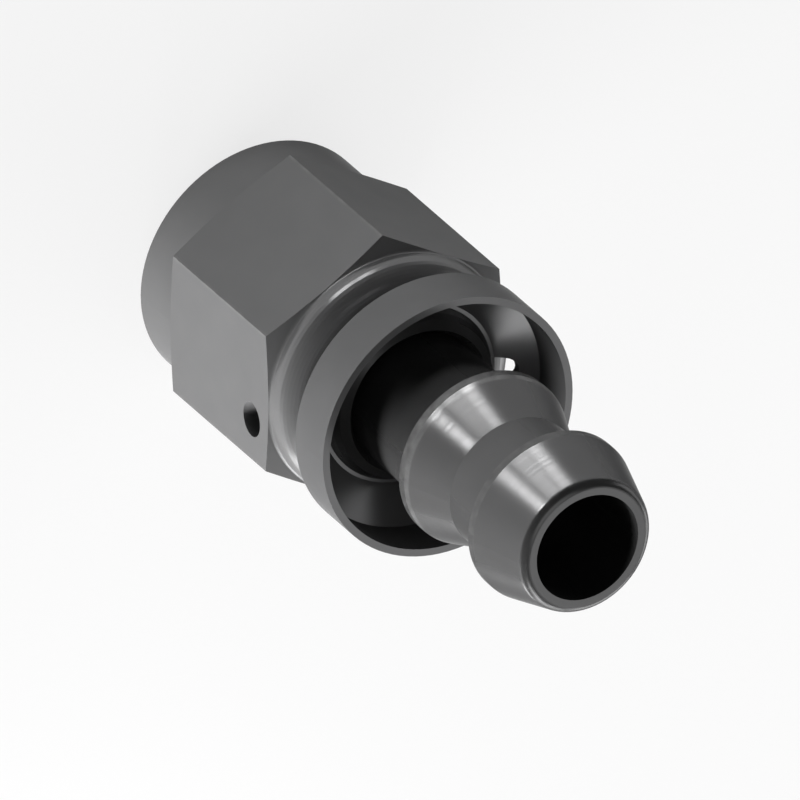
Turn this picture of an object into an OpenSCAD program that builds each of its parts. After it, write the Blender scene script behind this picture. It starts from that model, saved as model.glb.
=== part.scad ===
// Straight socketless hose fitting with a wire-retained swivel nut, millimetres.
// It stands on the threaded end of its nut, with the axis along +Z and the nose on top.
// The flat with the wire hole faces +X, and the sight notch of the cup lies on the -X side.

/* [Hose nipple] */
// Bore through the nipple
bore_d = 7.58; // [5:0.01:8]
// Neck that the hose closes on
neck_d = 9.53; // [8.8:0.01:10.2]
// Diameter over the first barb, the one next to the cup
barb_1_d = 12.22; // [10.8:0.01:12.36]
// Diameter over the second barb, the one at the nose
barb_2_d = 11.97; // [10.8:0.01:12.36]
// Straight land on the top of the first barb
barb_1_land = 0.66; // [0.3:0.01:1.5]
// Straight land on the top of the second barb
barb_2_land = 0.63; // [0.3:0.01:1.5]
// Slope of the first barb from the axis, in degrees
barb_1_slope = 20.6; // [16:0.1:30]
// Neck between the shoulder and the back of the first barb
neck_1_l = 7.99; // [5:0.01:14]
// Neck between the two barbs
neck_2_l = 4.48; // [2:0.01:8]
// Nose from the land of the second barb to its flat end
nose_l = 4.45; // [3:0.01:8]
// Flat ring round the bore at the nose, outside diameter
nose_ring_d = 8.4; // [8.2:0.01:9.2]
// Radius that rounds the nose
nose_round_r = 0.7; // [0.3:0.01:1]

/* [Nipple shoulder] */
// Shoulder that the cup is pressed on
shoulder_d = 12.42; // [12.4:0.01:13.2]
// Straight part of the shoulder above the floor of the cup
shoulder_lip = 0.09; // [0.05:0.01:0.6]
// Steep cone of the shoulder, height
shoulder_cone_l = 0.98; // [0.5:0.01:2]
// Steep cone of the shoulder, diameter at its top
shoulder_cone_d = 11.44; // [11:0.01:12]
// Flat cone on top of the shoulder, height
shoulder_cap_l = 0.34; // [0.1:0.01:0.8]
// Flat cone on top of the shoulder, diameter at its inner edge
shoulder_cap_d = 10.26; // [10.22:0.01:10.8]
// Depth of the relief turned between the shoulder and the neck
relief_l = 0.45; // [0.2:0.01:0.8]
// Flange that the cup bears on, diameter
flange_d = 13.5; // [13.3:0.01:15.4]
// Flange that the cup bears on, thickness
flange_l = 0.48; // [0.2:0.01:1]

/* [Barrel and seat] */
// Barrel that the nut turns on
barrel_d = 12.42; // [11.8:0.01:12.6]
// Height of the sealing end of the barrel above the threaded end of the nut
seat_z = 8.9; // [8.2:0.01:9.8]
// Sealing cone, diameter at its mouth
seat_d = 11.6; // [10:0.01:11.8]
// Sealing cone, slope from the axis in degrees
seat_slope = 37; // [37:1:45]
// Bevel round the sealing end of the barrel
barrel_bevel = 0.25; // [0.1:0.01:0.5]

/* [Swivel nut] */
// Hex across its flats
hex_af = 17.46; // [17.2:0.01:19]
// Length of the hex
hex_l = 12.65; // [11.6:0.01:16]
// Slope of the bevel on both ends of the hex, in degrees
hex_bevel = 14; // [5:1:30]
// Round collar below the hex, diameter
collar_d = 17.42; // [16.6:0.01:17.44]
// Round collar below the hex, length
collar_l = 3.9; // [2:0.01:6]
// Rounded bead behind the hex, diameter
bead_d = 17.32; // [16:0.01:17.44]
// Radius that rounds the bead towards its back face
bead_r = 1.58; // [0.6:0.01:1.9]
// Straight part of the bead below that rounding
bead_land = 0.09; // [0.05:0.01:0.6]
// Hollow rounding between the bevel of the hex and the bead
bead_fillet = 0.25; // [0.1:0.01:0.4]
// Running clearance of the nut on the barrel, on the radius
swivel_fit = 0.08; // [0.02:0.01:0.1]
// Gap between the back of the nut and the flange
flange_gap = 0.12; // [0.1:0.01:0.6]

/* [Nut thread] */
// Thread of the nut, major diameter
thread_d = 14.29; // [13.9:0.01:14.4]
// Length of the thread
thread_l = 8.6; // [6:0.1:9]
// Runout groove behind the thread, diameter
runout_d = 14.7; // [14.5:0.01:15]
// Runout groove behind the thread, length
runout_l = 1.6; // [1.2:0.01:2]
// Bevel at the mouth of the thread
mouth_bevel = 0.35; // [0.1:0.01:0.6]

/* [Retaining wire] */
// Height of the wire above the threaded end of the nut
wire_z = 14.4; // [12.9:0.01:15.2]
// Thickness of the wire
wire_d = 1.6; // [1.2:0.01:1.8]
// Gap between the ends of the wire, in degrees
wire_gap = 24; // [10:1:60]
// Clearance of the wire in the groove of the nipple, on the radius
wire_seat = 0.04; // [0.02:0.01:0.1]
// Clearance of the wire in the groove of the nut, on the radius
wire_fit = 0.12; // [0.08:0.01:0.2]
// Drilled hole that the wire goes in through
wire_hole_d = 2.14; // [1.9:0.01:2.2]
// Slant of that hole from the normal of its flat, in degrees
wire_hole_slant = 31; // [24:1:36]

/* [Hose cup] */
// Cup over its rim
cup_d = 18.66; // [18:0.01:21]
// Wall of the cup at its rim
cup_wall = 0.51; // [0.4:0.01:0.9]
// Height of the rim above the floor of the cup
cup_h = 5.12; // [4:0.01:8]
// Inside diameter of the flat floor
cup_floor_d = 12.94; // [12.8:0.01:14]
// Thickness of the floor
cup_floor = 0.5; // [0.4:0.01:1]
// Slope of the cone between floor and wall, from the floor, in degrees
cup_cone_slope = 37; // [25:1:50]
// Thickness of that cone
cup_cone_wall = 0.45; // [0.4:0.01:0.7]
// Width of the sight notch at the foot of the cup
sight_notch_w = 1.54; // [1:0.01:2]
// Reach of the sight notch from the axis
sight_notch_reach = 7.75; // [7.2:0.01:8.2]

/* [Hidden] */

$fn = 96;
// Steps of an arc that is drawn as a run of short cones
arc_steps = 10;
// How far a cutter runs past the face that it cuts
past = 1;

// Heights of the nut
hex_z = collar_l;
hex_top_z = hex_z + hex_l;

// The hollow rounding is tangent to the bevel of the hex and to the bead
bead_fillet_at = [bead_d / 2 + bead_fillet,
                  hex_top_z + bead_fillet / cos(hex_bevel)
                  - (bead_d / 2 + bead_fillet - hex_af / 2) * tan(hex_bevel)];
nut_top_z = bead_fillet_at.y + bead_land + bead_r;

// Heights of the nipple, each on top of the last
flange_z = nut_top_z + flange_gap;
cup_z = flange_z + flange_l;
cup_floor_z = cup_z + cup_floor;
cone_z = cup_floor_z + shoulder_lip;
cap_z = cone_z + shoulder_cone_l;
shoulder_z = cap_z + shoulder_cap_l;
barb_1_z = shoulder_z + neck_1_l;
barb_1_cone_z = barb_1_z + barb_1_land;
neck_2_z = barb_1_cone_z + (barb_1_d - neck_d) / 2 / tan(barb_1_slope);
barb_2_z = neck_2_z + neck_2_l;
barb_2_cone_z = barb_2_z + barb_2_land;
nose_z = barb_2_cone_z + nose_l;

// The cone of the second barb runs tangent into the rounding of the nose
nose_arc = [nose_ring_d / 2, nose_z - nose_round_r];
nose_run = [barb_2_d / 2, barb_2_cone_z] - nose_arc;
barb_2_slope = atan2(nose_run.x, -nose_run.y) - asin(nose_round_r / norm(nose_run));

// The wire lies half in the nut and half in the nipple
nut_bore_r = barrel_d / 2 + swivel_fit;
wire_ring_r = (barrel_d / 2 + nut_bore_r) / 2;
seat_l = (seat_d - bore_d) / 2 / tan(seat_slope);

// The wire hole is drilled on the tangent of the wire
wire_hole_y = (wire_ring_r - hex_af / 2 * sin(wire_hole_slant)) / cos(wire_hole_slant);
wire_hole_l = hex_af / 2 * cos(wire_hole_slant) - wire_hole_y * sin(wire_hole_slant);

// Cup: the inner cone, and the outer one a wall's thickness outside it
cup_wall_z = cup_floor_z + (cup_d / 2 - cup_wall - cup_floor_d / 2) * tan(cup_cone_slope);
cup_back_z = cup_wall_z + cup_wall * tan(cup_cone_slope) - cup_cone_wall / cos(cup_cone_slope);
cup_foot_r = cup_d / 2 - (cup_back_z - cup_z) / tan(cup_cone_slope);
rim_z = cup_floor_z + cup_h;

// Points of an arc about c, from angle a to angle b
function arc(c, r, a, b) = [for (i = [0:arc_steps]) c + r * [cos(a + (b - a) * i / arc_steps),
                                                            sin(a + (b - a) * i / arc_steps)]];

// Ring of round wire or a round groove
module ring(ring_r, section_r, turn = 360) {
    rotate_extrude(angle = turn) translate([ring_r, 0]) circle(r = section_r);
}

// One turned piece: every step of the nipple from the sealing end to the nose
module hose_nipple() {
    barrel_r = barrel_d / 2;
    neck_r = neck_d / 2;
    color("dimgray") difference() {
        rotate_extrude() polygon(concat(
            [[bore_d / 2, seat_z + seat_l],
             [seat_d / 2, seat_z],
             [barrel_r - barrel_bevel, seat_z],
             [barrel_r, seat_z + barrel_bevel],
             [barrel_r, flange_z],
             [flange_d / 2, flange_z],
             [flange_d / 2, cup_z],
             [shoulder_d / 2, cup_z],
             [shoulder_d / 2, cone_z],
             [shoulder_cone_d / 2, cap_z],
             [shoulder_cap_d / 2, shoulder_z],
             [neck_r, shoulder_z - relief_l],
             [neck_r, barb_1_z],
             [barb_1_d / 2, barb_1_z],
             [barb_1_d / 2, barb_1_cone_z],
             [neck_r, neck_2_z],
             [neck_r, barb_2_z],
             [barb_2_d / 2, barb_2_z],
             [barb_2_d / 2, barb_2_cone_z]],
            arc(nose_arc, nose_round_r, barb_2_slope, 90),
            [[bore_d / 2, nose_z]]));
        translate([0, 0, wire_z]) ring(wire_ring_r, wire_d / 2 + wire_seat);
    }
}

// Hex with a shallow turned bevel on both ends, and the round bead with a flat back face
module hex_and_bead() {
    hex_r = hex_af / sqrt(3);
    bar_r = hex_r + past;
    bevel_l = (bar_r - hex_af / 2) * tan(hex_bevel);
    intersection() {
        rotate([0, 0, 30]) cylinder(r = hex_r, h = nut_top_z + past, $fn = 6);
        rotate_extrude() polygon(concat(
            [[0, hex_z],
             [hex_af / 2, hex_z],
             [bar_r, hex_z + bevel_l],
             [bar_r, hex_top_z - bevel_l]],
            arc(bead_fillet_at, bead_fillet, 270 - hex_bevel, 180),
            arc([bead_d / 2 - bead_r, nut_top_z - bead_r], bead_r, 0, 90),
            [[0, nut_top_z]]));
    }
}

// Thread bore, runout and the bore that turns on the barrel
module nut_bores() {
    thread_r = thread_d / 2;
    runout_z = thread_l + runout_l;
    rotate_extrude() polygon([
        [0, -past],
        [thread_r + mouth_bevel + past, -past],
        [thread_r, mouth_bevel],
        [thread_r, thread_l],
        [runout_d / 2, thread_l + (runout_d - thread_d) / 2],
        [runout_d / 2, runout_z],
        [nut_bore_r, runout_z],
        [nut_bore_r, nut_top_z + past],
        [0, nut_top_z + past]]);
}

// Slanted hole from the flat to where the drill touches the wire groove
module wire_hole() {
    translate([hex_af / 2, wire_hole_y, wire_z])
        rotate([0, 0, 180 - wire_hole_slant])
            rotate([0, 90, 0])
                translate([0, 0, -past * 2]) cylinder(d = wire_hole_d, h = wire_hole_l + past * 2);
}

// Hex bar turned to a round collar in front and to a rounded bead behind
module swivel_nut() {
    color("dimgray") difference() {
        union() {
            cylinder(d = collar_d, h = hex_z + hex_l / 2);
            hex_and_bead();
        }
        nut_bores();
        translate([0, 0, wire_z]) ring(wire_ring_r, wire_d / 2 + wire_fit);
        wire_hole();
    }
}

// Wire pushed in through the slanted hole: its tail lies where the hole meets the groove
module retaining_wire() {
    color("silver")
        translate([0, 0, wire_z])
            rotate([0, 0, 90 - wire_hole_slant]) ring(wire_ring_r, wire_d / 2, 360 - wire_gap);
}

// Notch cut along the axis from the bore of the cup, with a round outer end
module sight_notch() {
    notch_r = sight_notch_w / 2;
    translate([0, 0, cup_z - past]) linear_extrude(cup_wall_z - cup_z + past) polygon(concat(
        [[0, -notch_r], [0, notch_r]],
        arc([notch_r - sight_notch_reach, 0], notch_r, 90, 270)));
}

// Thin cup: flat floor, cone and a straight wall, with one sight notch
module hose_cup() {
    shoulder_r = shoulder_d / 2;
    color("dimgray") difference() {
        rotate_extrude() polygon([
            [shoulder_r, cup_z],
            [cup_foot_r, cup_z],
            [cup_d / 2, cup_back_z],
            [cup_d / 2, rim_z],
            [cup_d / 2 - cup_wall, rim_z],
            [cup_d / 2 - cup_wall, cup_wall_z],
            [cup_floor_d / 2, cup_floor_z],
            [shoulder_r, cup_floor_z]]);
        sight_notch();
    }
}

hose_nipple();
swivel_nut();
retaining_wire();
hose_cup();
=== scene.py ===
import bpy
import math
from mathutils import Matrix, Vector


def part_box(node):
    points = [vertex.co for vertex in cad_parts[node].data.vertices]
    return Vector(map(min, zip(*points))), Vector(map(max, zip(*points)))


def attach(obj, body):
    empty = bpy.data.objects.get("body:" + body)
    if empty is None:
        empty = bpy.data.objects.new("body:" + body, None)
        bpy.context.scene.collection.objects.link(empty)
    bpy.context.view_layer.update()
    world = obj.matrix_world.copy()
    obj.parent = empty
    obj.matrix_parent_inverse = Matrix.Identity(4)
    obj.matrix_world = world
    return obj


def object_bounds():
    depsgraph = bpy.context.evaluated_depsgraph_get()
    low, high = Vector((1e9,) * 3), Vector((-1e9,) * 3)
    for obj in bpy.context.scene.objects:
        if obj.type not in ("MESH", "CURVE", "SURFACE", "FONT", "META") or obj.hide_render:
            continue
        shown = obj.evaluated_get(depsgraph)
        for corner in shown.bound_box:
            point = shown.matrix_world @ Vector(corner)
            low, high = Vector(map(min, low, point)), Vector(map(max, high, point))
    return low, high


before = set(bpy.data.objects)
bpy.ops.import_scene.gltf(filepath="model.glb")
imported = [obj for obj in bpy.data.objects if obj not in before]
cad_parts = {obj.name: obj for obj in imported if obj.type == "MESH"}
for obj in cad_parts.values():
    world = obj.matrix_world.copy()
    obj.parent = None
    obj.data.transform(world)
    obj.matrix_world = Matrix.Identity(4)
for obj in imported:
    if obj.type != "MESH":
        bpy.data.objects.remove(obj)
cad_low, cad_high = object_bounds()
scene = bpy.context.scene
scene.view_settings.view_transform = "Standard"

# The camera looks at the fitting in a parallel view from the side of its nose, 30 degrees off
# the axis both ways. The nose lies low on the right of the picture, the nut high on the left.
MM = 0.001
PHOTO_PX = 800
MM_PER_PX = 0.0647
NOSE_PX = (587.47, 547.60)
OFF_AXIS = math.radians(30)
TO_VIEWER = Vector((math.cos(OFF_AXIS) * math.sin(OFF_AXIS), -math.sin(OFF_AXIS), math.cos(OFF_AXIS) ** 2))
PICTURE_RIGHT = Vector((-math.cos(OFF_AXIS), 0.0, math.sin(OFF_AXIS)))
PICTURE_UP = TO_VIEWER.cross(PICTURE_RIGHT)
CAMERA_DISTANCE = 0.3

nose = Vector((0.0, 0.0, cad_high.z))
px = MM_PER_PX * MM
to_middle = ((PHOTO_PX / 2 - NOSE_PX[0]) * px, (NOSE_PX[1] - PHOTO_PX / 2) * px)
aim = nose + to_middle[0] * PICTURE_RIGHT + to_middle[1] * PICTURE_UP
camera_data = bpy.data.cameras.new("camera")
camera_data.type = "ORTHO"
camera_data.ortho_scale = PHOTO_PX * px
camera = bpy.data.objects.new("camera", camera_data)
turn = Matrix((PICTURE_RIGHT, PICTURE_UP, TO_VIEWER)).transposed().to_4x4()
camera.matrix_world = Matrix.Translation(aim + TO_VIEWER * CAMERA_DISTANCE) @ turn
scene.collection.objects.link(camera)
scene.camera = camera

# The table is a sheet of matt white board that the fitting stands on, open end of the nut down.
# Its grain is too fine to see but for a trace of unevenness. The camera and the metal see it
# mostly by an even glow of its own, which keeps it pale and leaves a faint shadow.
TABLE_SIZE = 1.2
TABLE_DROP = 0.02 * MM
BOARD_LIGHT = (0.90, 0.90, 0.90, 1)
BOARD_DARK = (0.87, 0.87, 0.87, 1)
BOARD_ROUGHNESS = 0.9
BOARD_GRAIN = 0.5
BOARD_GRAIN_DEPTH = 0.004
BOARD_GLOW = (0.98, 0.98, 0.98, 1)
BOARD_GLOW_SHARE = 0.8
SOFT_DETAIL = 2.0
FINE_DETAIL = 4.0
NOISE_LOW = 0.3
NOISE_HIGH = 0.7


def feed(finish, socket, value):
    """Gives a socket a value, or a link from another node's socket."""
    if isinstance(value, bpy.types.NodeSocket):
        finish.node_tree.links.new(value, socket)
    else:
        socket.default_value = value


def add_node(finish, kind, **sockets):
    """Adds a node to a finish, and feeds the sockets that are named."""
    node = finish.node_tree.nodes.new(kind)
    for name, value in sockets.items():
        feed(finish, node.inputs[name.replace("_", " ")], value)
    return node


def compute(finish, operation, first, second):
    """One sum on two values or sockets."""
    sum_node = add_node(finish, "ShaderNodeMath")
    sum_node.operation = operation
    feed(finish, sum_node.inputs[0], first)
    feed(finish, sum_node.inputs[1], second)
    return sum_node.outputs[0]


def stretch(finish, place, factors):
    """A place on the surface, multiplied along X, Y and Z."""
    stretched = add_node(finish, "ShaderNodeVectorMath")
    stretched.operation = "MULTIPLY"
    feed(finish, stretched.inputs[0], place)
    feed(finish, stretched.inputs[1], factors)
    return stretched.outputs[0]


def new_finish(name, metallic, specular):
    """A finish with its shader, and a socket with the place on the surface in millimetres."""
    finish = bpy.data.materials.new(name)
    finish.use_nodes = True
    shader = finish.node_tree.nodes["Principled BSDF"]
    shader.inputs["Metallic"].default_value = metallic
    shader.inputs["Specular IOR Level"].default_value = specular
    place = add_node(finish, "ShaderNodeTexCoord").outputs["Object"]
    return finish, shader, stretch(finish, place, (1 / MM, 1 / MM, 1 / MM))


def cloud(finish, place_mm, size_mm, detail=SOFT_DETAIL):
    """Soft uneven patches of about a size, from 0 to 1."""
    noise = add_node(finish, "ShaderNodeTexNoise", Vector=place_mm, Scale=1 / size_mm, Detail=detail)
    return noise.outputs["Fac"]


def spread(finish, factor, low, high):
    """Turns a noise of 0 to 1, which lies near its middle, into a value from low to high."""
    spreader = add_node(finish, "ShaderNodeMapRange", Value=factor, From_Min=NOISE_LOW, From_Max=NOISE_HIGH,
                        To_Min=low, To_Max=high)
    return spreader.outputs["Result"]


def blend_colours(finish, factor, colour_low, colour_high):
    """Mixes two colours, or two nodes' colours, by a factor."""
    mixer = add_node(finish, "ShaderNodeMix")
    mixer.data_type = "RGBA"
    chosen = {"Factor": factor, "A": colour_low, "B": colour_high}
    for socket in mixer.inputs:
        if socket.enabled and socket.name in chosen:
            feed(finish, socket, chosen[socket.name])
    return next(socket for socket in mixer.outputs if socket.enabled)


def dent(finish, shader, height, depth_mm):
    """Gives the surface a relief of a depth, from a height of 0 to 1."""
    bump = add_node(finish, "ShaderNodeBump", Height=height, Distance=depth_mm * MM)
    feed(finish, shader.inputs["Normal"], bump.outputs["Normal"])


def white_board():
    """Matt white board with a fine grain, and its glow for the camera and for mirroring metal."""
    finish, shader, place_mm = new_finish("white_board", metallic=0.0, specular=0.0)
    shader.inputs["Roughness"].default_value = BOARD_ROUGHNESS
    grain = cloud(finish, place_mm, BOARD_GRAIN, FINE_DETAIL)
    feed(finish, shader.inputs["Base Color"], blend_colours(finish, grain, BOARD_DARK, BOARD_LIGHT))
    dent(finish, shader, grain, BOARD_GRAIN_DEPTH)
    light_path = add_node(finish, "ShaderNodeLightPath")
    seen = compute(finish, "ADD", light_path.outputs["Is Camera Ray"], light_path.outputs["Is Glossy Ray"])
    seen = compute(finish, "ADD", seen, light_path.outputs["Is Transmission Ray"])
    glow = add_node(finish, "ShaderNodeEmission", Color=BOARD_GLOW, Strength=1.0)
    lit_board = add_node(finish, "ShaderNodeMixShader")
    feed(finish, lit_board.inputs[0], compute(finish, "MULTIPLY", seen, BOARD_GLOW_SHARE))
    feed(finish, lit_board.inputs[1], shader.outputs[0])
    feed(finish, lit_board.inputs[2], glow.outputs[0])
    surface = finish.node_tree.nodes["Material Output"].inputs["Surface"]
    feed(finish, surface, lit_board.outputs[0])
    return finish


def new_piece(name, points, faces, finish):
    """Adds a piece to the scene, from points in metres and the faces between them."""
    mesh = bpy.data.meshes.new(name)
    mesh.from_pydata(points, [], faces)
    mesh.materials.append(finish)
    piece = bpy.data.objects.new(name, mesh)
    scene.collection.objects.link(piece)
    return piece


half = TABLE_SIZE / 2
table_corners = [(-half, -half, 0), (half, -half, 0), (half, half, 0), (-half, half, 0)]
table = new_piece("table", table_corners, [(0, 1, 2, 3)], white_board())
table.location.z = -TABLE_DROP

# The studio is a dim room. Soft boxes stand in a row behind the fitting and beside it, and two
# hang over it. A long fill at its side has no mirror image in the metal, three low lamps light
# the walls, and two strip lamps with narrow beams draw the streaks of light on the barbs.
ROOM_GREY = (0.5, 0.5, 0.5, 1)
ROOM_LEVEL = 0.06
FULL_BEAM = 180
# Each lamp: azimuth in degrees, distance and height, width and tallness in mm, brightness.
SOFT_BOXES = [
    (90, 342, 93, 160, 160, 4.2),
    (120, 342, 93, 160, 160, 4.6),
    (150, 342, 93, 160, 160, 3.6),
    (75, 310, 180, 120, 120, 4.0),
    (131, 226, 277, 200, 200, 1.2),
    (182, 340, 145, 200, 160, 1.2),
    (0, 1, 520, 300, 300, 0.8),
]
FILL_BOX = (43, 335, 52, 260, 80, 38.0)
SOFT_BOX_AIM = 20
LOW_LAMPS = [
    (-73, 80, 14, 26, 12, 8.0),
    (70, 80, 12, 30, 20, 10.0),
    (160, 80, 12, 30, 20, 2.0),
]
LOW_LAMP_AIM = 12
# A streak lamp has two more: the height on the axis that it is aimed at, and its beam in degrees.
STREAK_LAMPS = [
    (-50, 80, 25, 20, 16, 26.0, 41, 22),
    (-92, 80, 12, 22, 16, 16.0, 33, 30),
]


def lamp(azimuth, distance, height, width, tall, brightness, aim_height, beam=FULL_BEAM):
    """Adds a soft lamp. At a brightness of 1 it looks white, however narrow its beam is."""
    around = math.radians(azimuth)
    half_beam = math.radians(beam / 2)
    place = Vector((distance * math.cos(around), distance * math.sin(around), height)) * MM
    lamp_data = bpy.data.lights.new("soft_lamp", "AREA")
    lamp_data.shape = "RECTANGLE"
    lamp_data.size = width * MM
    lamp_data.size_y = tall * MM
    lamp_data.spread = 2 * half_beam
    lamp_data.energy = brightness * math.pi * lamp_data.size * lamp_data.size_y
    lamp_data.energy *= 1 - half_beam / math.tan(half_beam)
    soft_lamp = bpy.data.objects.new("soft_lamp", lamp_data)
    soft_lamp.location = place
    away = place - Vector((0.0, 0.0, aim_height)) * MM
    soft_lamp.rotation_euler = away.to_track_quat("Z", "Y").to_euler()
    soft_lamp.visible_camera = False
    scene.collection.objects.link(soft_lamp)
    return soft_lamp


for soft_box in SOFT_BOXES:
    lamp(*soft_box, SOFT_BOX_AIM)
fill = lamp(*FILL_BOX, SOFT_BOX_AIM)
fill.visible_glossy = False
for low_lamp in LOW_LAMPS:
    lamp(*low_lamp, LOW_LAMP_AIM)
for streak_lamp in STREAK_LAMPS:
    lamp(*streak_lamp)

room = bpy.data.worlds.new("room")
room.use_nodes = True
room_light = room.node_tree.nodes["Background"]
room_light.inputs["Color"].default_value = ROOM_GREY
room_light.inputs["Strength"].default_value = ROOM_LEVEL
scene.world = room

# The hose nipple is one piece turned from aluminium bar on a lathe and then anodised black. The
# tool leaves fine rings, and the black coat is satin, a little uneven, and worn at the barbs.
# The nipple's black coat is set darker than the cup's and the nut's: partly its own tone, partly painted
# shade.
NIPPLE_DEEP_SHADED = (0.11, 0.11, 0.111, 1)
NIPPLE_THIN_SHADED = (0.13, 0.13, 0.131, 1)
NIPPLE_METALLIC = 0.7
NIPPLE_RING = 0.14
BARB_RUBBED = (5.96, 6.0)
ANODISE_ROUGHNESS = (0.21, 0.27)
ANODISE_GLOSS = 0.0
EDGE_SHEEN = (0.35, 0.35, 0.35, 1)
COAT_PATCH = 3.0
RING_DETAIL = 3.0
TOOL_MARK_DEPTH = 0.0009
BARE_METAL = (0.5, 0.5, 0.5, 1)
RUB_PATCH = 0.8
MOST_RUBBED = 0.2


def from_axis(finish, place_mm):
    """Distance of the surface from the fitting's axis, in millimetres."""
    length = add_node(finish, "ShaderNodeVectorMath")
    length.operation = "LENGTH"
    feed(finish, length.inputs[0], stretch(finish, place_mm, (1, 1, 0)))
    return length.outputs["Value"]


def tool_rings(finish, place_mm, ring_mm):
    """Uneven rings about the axis, on walls and end faces alike, from 0 to 1."""
    height = add_node(finish, "ShaderNodeSeparateXYZ", Vector=place_mm).outputs["Z"]
    along = compute(finish, "ADD", height, from_axis(finish, place_mm))
    noise = add_node(finish, "ShaderNodeTexNoise", Scale=1 / ring_mm, Detail=RING_DETAIL)
    noise.noise_dimensions = "1D"
    feed(finish, noise.inputs["W"], along)
    return noise.outputs["Fac"]


def rubbed(finish, place_mm, start_mm, full_mm):
    """Where the coat is rubbed thin on an edge that lies at a distance from the axis, from 0 to 1."""
    on_edge = add_node(finish, "ShaderNodeMapRange", Value=from_axis(finish, place_mm),
                       From_Min=start_mm, From_Max=full_mm)
    patches = spread(finish, cloud(finish, place_mm, RUB_PATCH, FINE_DETAIL), 0.0, MOST_RUBBED)
    return compute(finish, "MULTIPLY", on_edge.outputs["Result"], patches)


def anodised(name, deep, thin, metallic, marks, edge=None):
    """Black anodised aluminium. marks(finish, place_mm) draws what the tool left under the coat."""
    finish, shader, place_mm = new_finish(name, metallic, ANODISE_GLOSS)
    shader.inputs["Specular Tint"].default_value = EDGE_SHEEN
    colour = blend_colours(finish, cloud(finish, place_mm, COAT_PATCH), deep, thin)
    if edge:
        colour = blend_colours(finish, rubbed(finish, place_mm, *edge), colour, BARE_METAL)
    feed(finish, shader.inputs["Base Color"], colour)
    tool_marks = marks(finish, place_mm)
    feed(finish, shader.inputs["Roughness"], spread(finish, tool_marks, *ANODISE_ROUGHNESS))
    dent(finish, shader, tool_marks, TOOL_MARK_DEPTH)
    return finish


def nipple_marks(finish, place_mm):
    """The rings of a lathe tool."""
    return tool_rings(finish, place_mm, NIPPLE_RING)


def dress(node_name, finish):
    """Gives a CAD node its finish."""
    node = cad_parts[node_name]
    node.data.materials.clear()
    node.data.materials.append(finish)


nipple_finish = anodised("nipple_black_anodise", NIPPLE_DEEP_SHADED, NIPPLE_THIN_SHADED, NIPPLE_METALLIC, nipple_marks,
                         BARB_RUBBED)
dress("hose_nipple", nipple_finish)

# The cup is a thin ring of aluminium, turned inside and out, anodised black and pressed on the
# shoulder of the nipple. The cut end of the hose goes into it.
CUP_DEEP = (0.15, 0.15, 0.152, 1)
CUP_THIN = (0.175, 0.175, 0.177, 1)
CUP_METALLIC = 0.5
CUP_RING = 0.1


def cup_marks(finish, place_mm):
    """Finer rings than on the nipple, because the thin wall takes only a light cut."""
    return tool_rings(finish, place_mm, CUP_RING)


cup_finish = anodised("cup_black_anodise", CUP_DEEP, CUP_THIN, CUP_METALLIC, cup_marks)
dress("hose_cup", cup_finish)

# The nut is a hex bar turned at both ends, milled along its six flats and anodised black. The
# flats show faint marks along the bar, and the collar and the bead have the rings of the lathe.
# The nut's black coat is set lighter than the cup's and the nipple's: partly its own tone, partly painted
# light.
NUT_DEEP_LIT = (0.19, 0.19, 0.192, 1)
NUT_THIN_LIT = (0.215, 0.215, 0.217, 1)
NUT_METALLIC = 0.45
NUT_RING = 0.14
CORNER_RUB = 0.1
FLAT_INSET = 0.01
FLAT_GRAIN_WIDTH = 0.2
FLAT_GRAIN_LENGTH = 10 / 3
UPRIGHT_LIMIT = 0.5
hex_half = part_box("swivel_nut")[1].x / MM
hex_corner = hex_half / math.cos(math.radians(30))


def flat_grain(finish, place_mm):
    """Fine marks along the bar, from 0 to 1."""
    across = 1 / FLAT_GRAIN_WIDTH
    return cloud(finish, stretch(finish, place_mm, (across, across, 1 / FLAT_GRAIN_LENGTH)), 1.0)


def nut_marks(finish, place_mm):
    """Lengthwise grain on the hex flats, and rings on every turned surface."""
    grain = flat_grain(finish, place_mm)
    rings = tool_rings(finish, place_mm, NUT_RING)
    outside = compute(finish, "GREATER_THAN", from_axis(finish, place_mm), hex_half - FLAT_INSET)
    facing = add_node(finish, "ShaderNodeTexCoord").outputs["Normal"]
    upward = add_node(finish, "ShaderNodeSeparateXYZ", Vector=facing).outputs["Z"]
    upright = compute(finish, "LESS_THAN", compute(finish, "ABSOLUTE", upward, 0.0), UPRIGHT_LIMIT)
    on_flat = compute(finish, "MULTIPLY", outside, upright)
    return add_node(finish, "ShaderNodeMix", Factor=on_flat, A=rings, B=grain).outputs["Result"]


nut_finish = anodised("nut_black_anodise", NUT_DEEP_LIT, NUT_THIN_LIT, NUT_METALLIC, nut_marks,
                      (hex_corner - CORNER_RUB, hex_corner))
dress("swivel_nut", nut_finish)

# The thread inside the nut is a 9/16-18 UNF, cut with a single-point tool, right-handed. Its
# ridge stands in from the plain bore of the nut and fades out at both ends of the cut.
THREAD_PITCH = 25.4 / 18
THREAD_MAJOR_R = 14.29 / 2
THREAD_DEPTH = 0.5413 * THREAD_PITCH
THREAD_START = 0.72
THREAD_END = 8.3
RIDGE_FOOT = THREAD_PITCH * 7 / 8
RIDGE_CREST = THREAD_PITCH / 4
FOOT_BITE = 0.02
STEPS_PER_TURN = 96
FADE_TURNS = 0.35
thread_turns = (THREAD_END - THREAD_START) / THREAD_PITCH
thread_steps = round(thread_turns * STEPS_PER_TURN)


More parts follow.
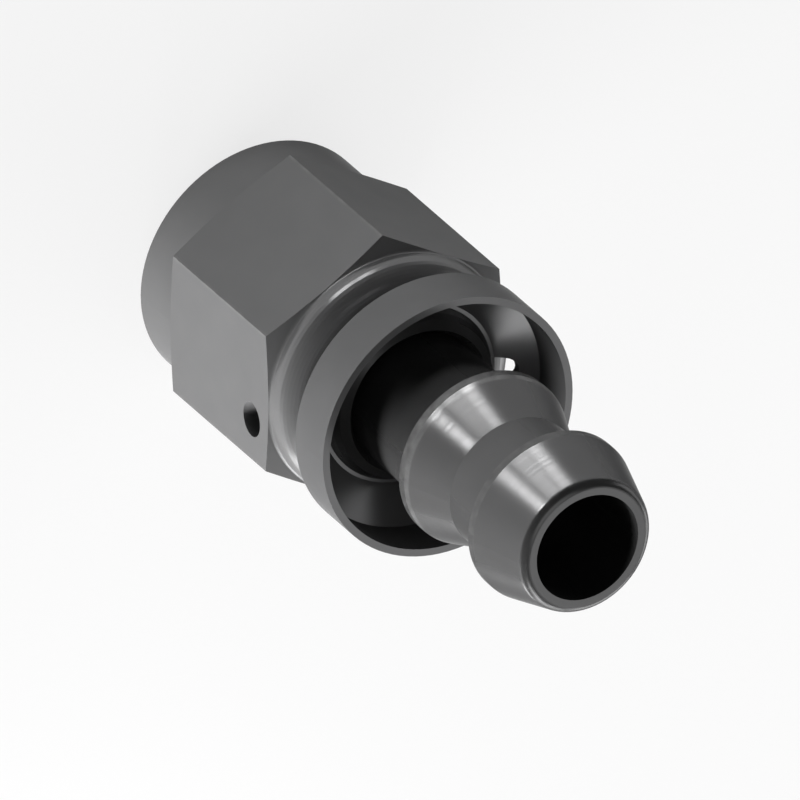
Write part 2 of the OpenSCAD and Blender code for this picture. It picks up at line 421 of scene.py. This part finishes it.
def ridge_section(turns):
    """The ridge's four corners, foot and crest, in metres, at some turns up the helix."""
    angle = turns * math.tau
    height = THREAD_START + turns * THREAD_PITCH
    fade = min(1.0, turns / FADE_TURNS, (thread_turns - turns) / FADE_TURNS)
    foot_r = THREAD_MAJOR_R + FOOT_BITE
    crest_r = THREAD_MAJOR_R - THREAD_DEPTH * fade
    corners = [(foot_r, -RIDGE_FOOT / 2), (crest_r, -RIDGE_CREST / 2),
               (crest_r, RIDGE_CREST / 2), (foot_r, RIDGE_FOOT / 2)]
    return [(r * math.cos(angle) * MM, r * math.sin(angle) * MM, (height + rise) * MM)
            for r, rise in corners]


thread_points = []
for step in range(thread_steps + 1):
    thread_points += ridge_section(thread_turns * step / thread_steps)
thread_faces = []
for step in range(thread_steps):
    for corner in range(4):
        near = 4 * step + corner
        beside = 4 * step + (corner + 1) % 4
        thread_faces.append((near, beside, beside + 4, near + 4))
thread_faces.append((3, 2, 1, 0))
thread_faces.append(tuple(4 * thread_steps + corner for corner in range(4)))
thread = new_piece("nut_thread", thread_points, thread_faces, nut_finish)
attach(thread, "nut")

# The retaining wire is hard drawn spring wire, pushed in through the slanted hole of the nut. It
# is bare steel with a fine grain, and only what lies behind the hole can be seen.
WIRE_DARK = (0.42, 0.42, 0.43, 1)
WIRE_LIGHT = (0.62, 0.62, 0.63, 1)
WIRE_ROUGHNESS = (0.25, 0.4)
WIRE_GRAIN = 0.15
WIRE_GRAIN_DEPTH = 0.003


def drawn_steel():
    """Bare steel with a fine grain."""
    finish, shader, place_mm = new_finish("drawn_steel_wire", metallic=1.0, specular=0.5)
    grain = cloud(finish, place_mm, WIRE_GRAIN, FINE_DETAIL)
    feed(finish, shader.inputs["Base Color"], blend_colours(finish, grain, WIRE_DARK, WIRE_LIGHT))
    feed(finish, shader.inputs["Roughness"], spread(finish, grain, *WIRE_ROUGHNESS))
    dent(finish, shader, grain, WIRE_GRAIN_DEPTH)
    return finish


dress("retaining_wire", drawn_steel())
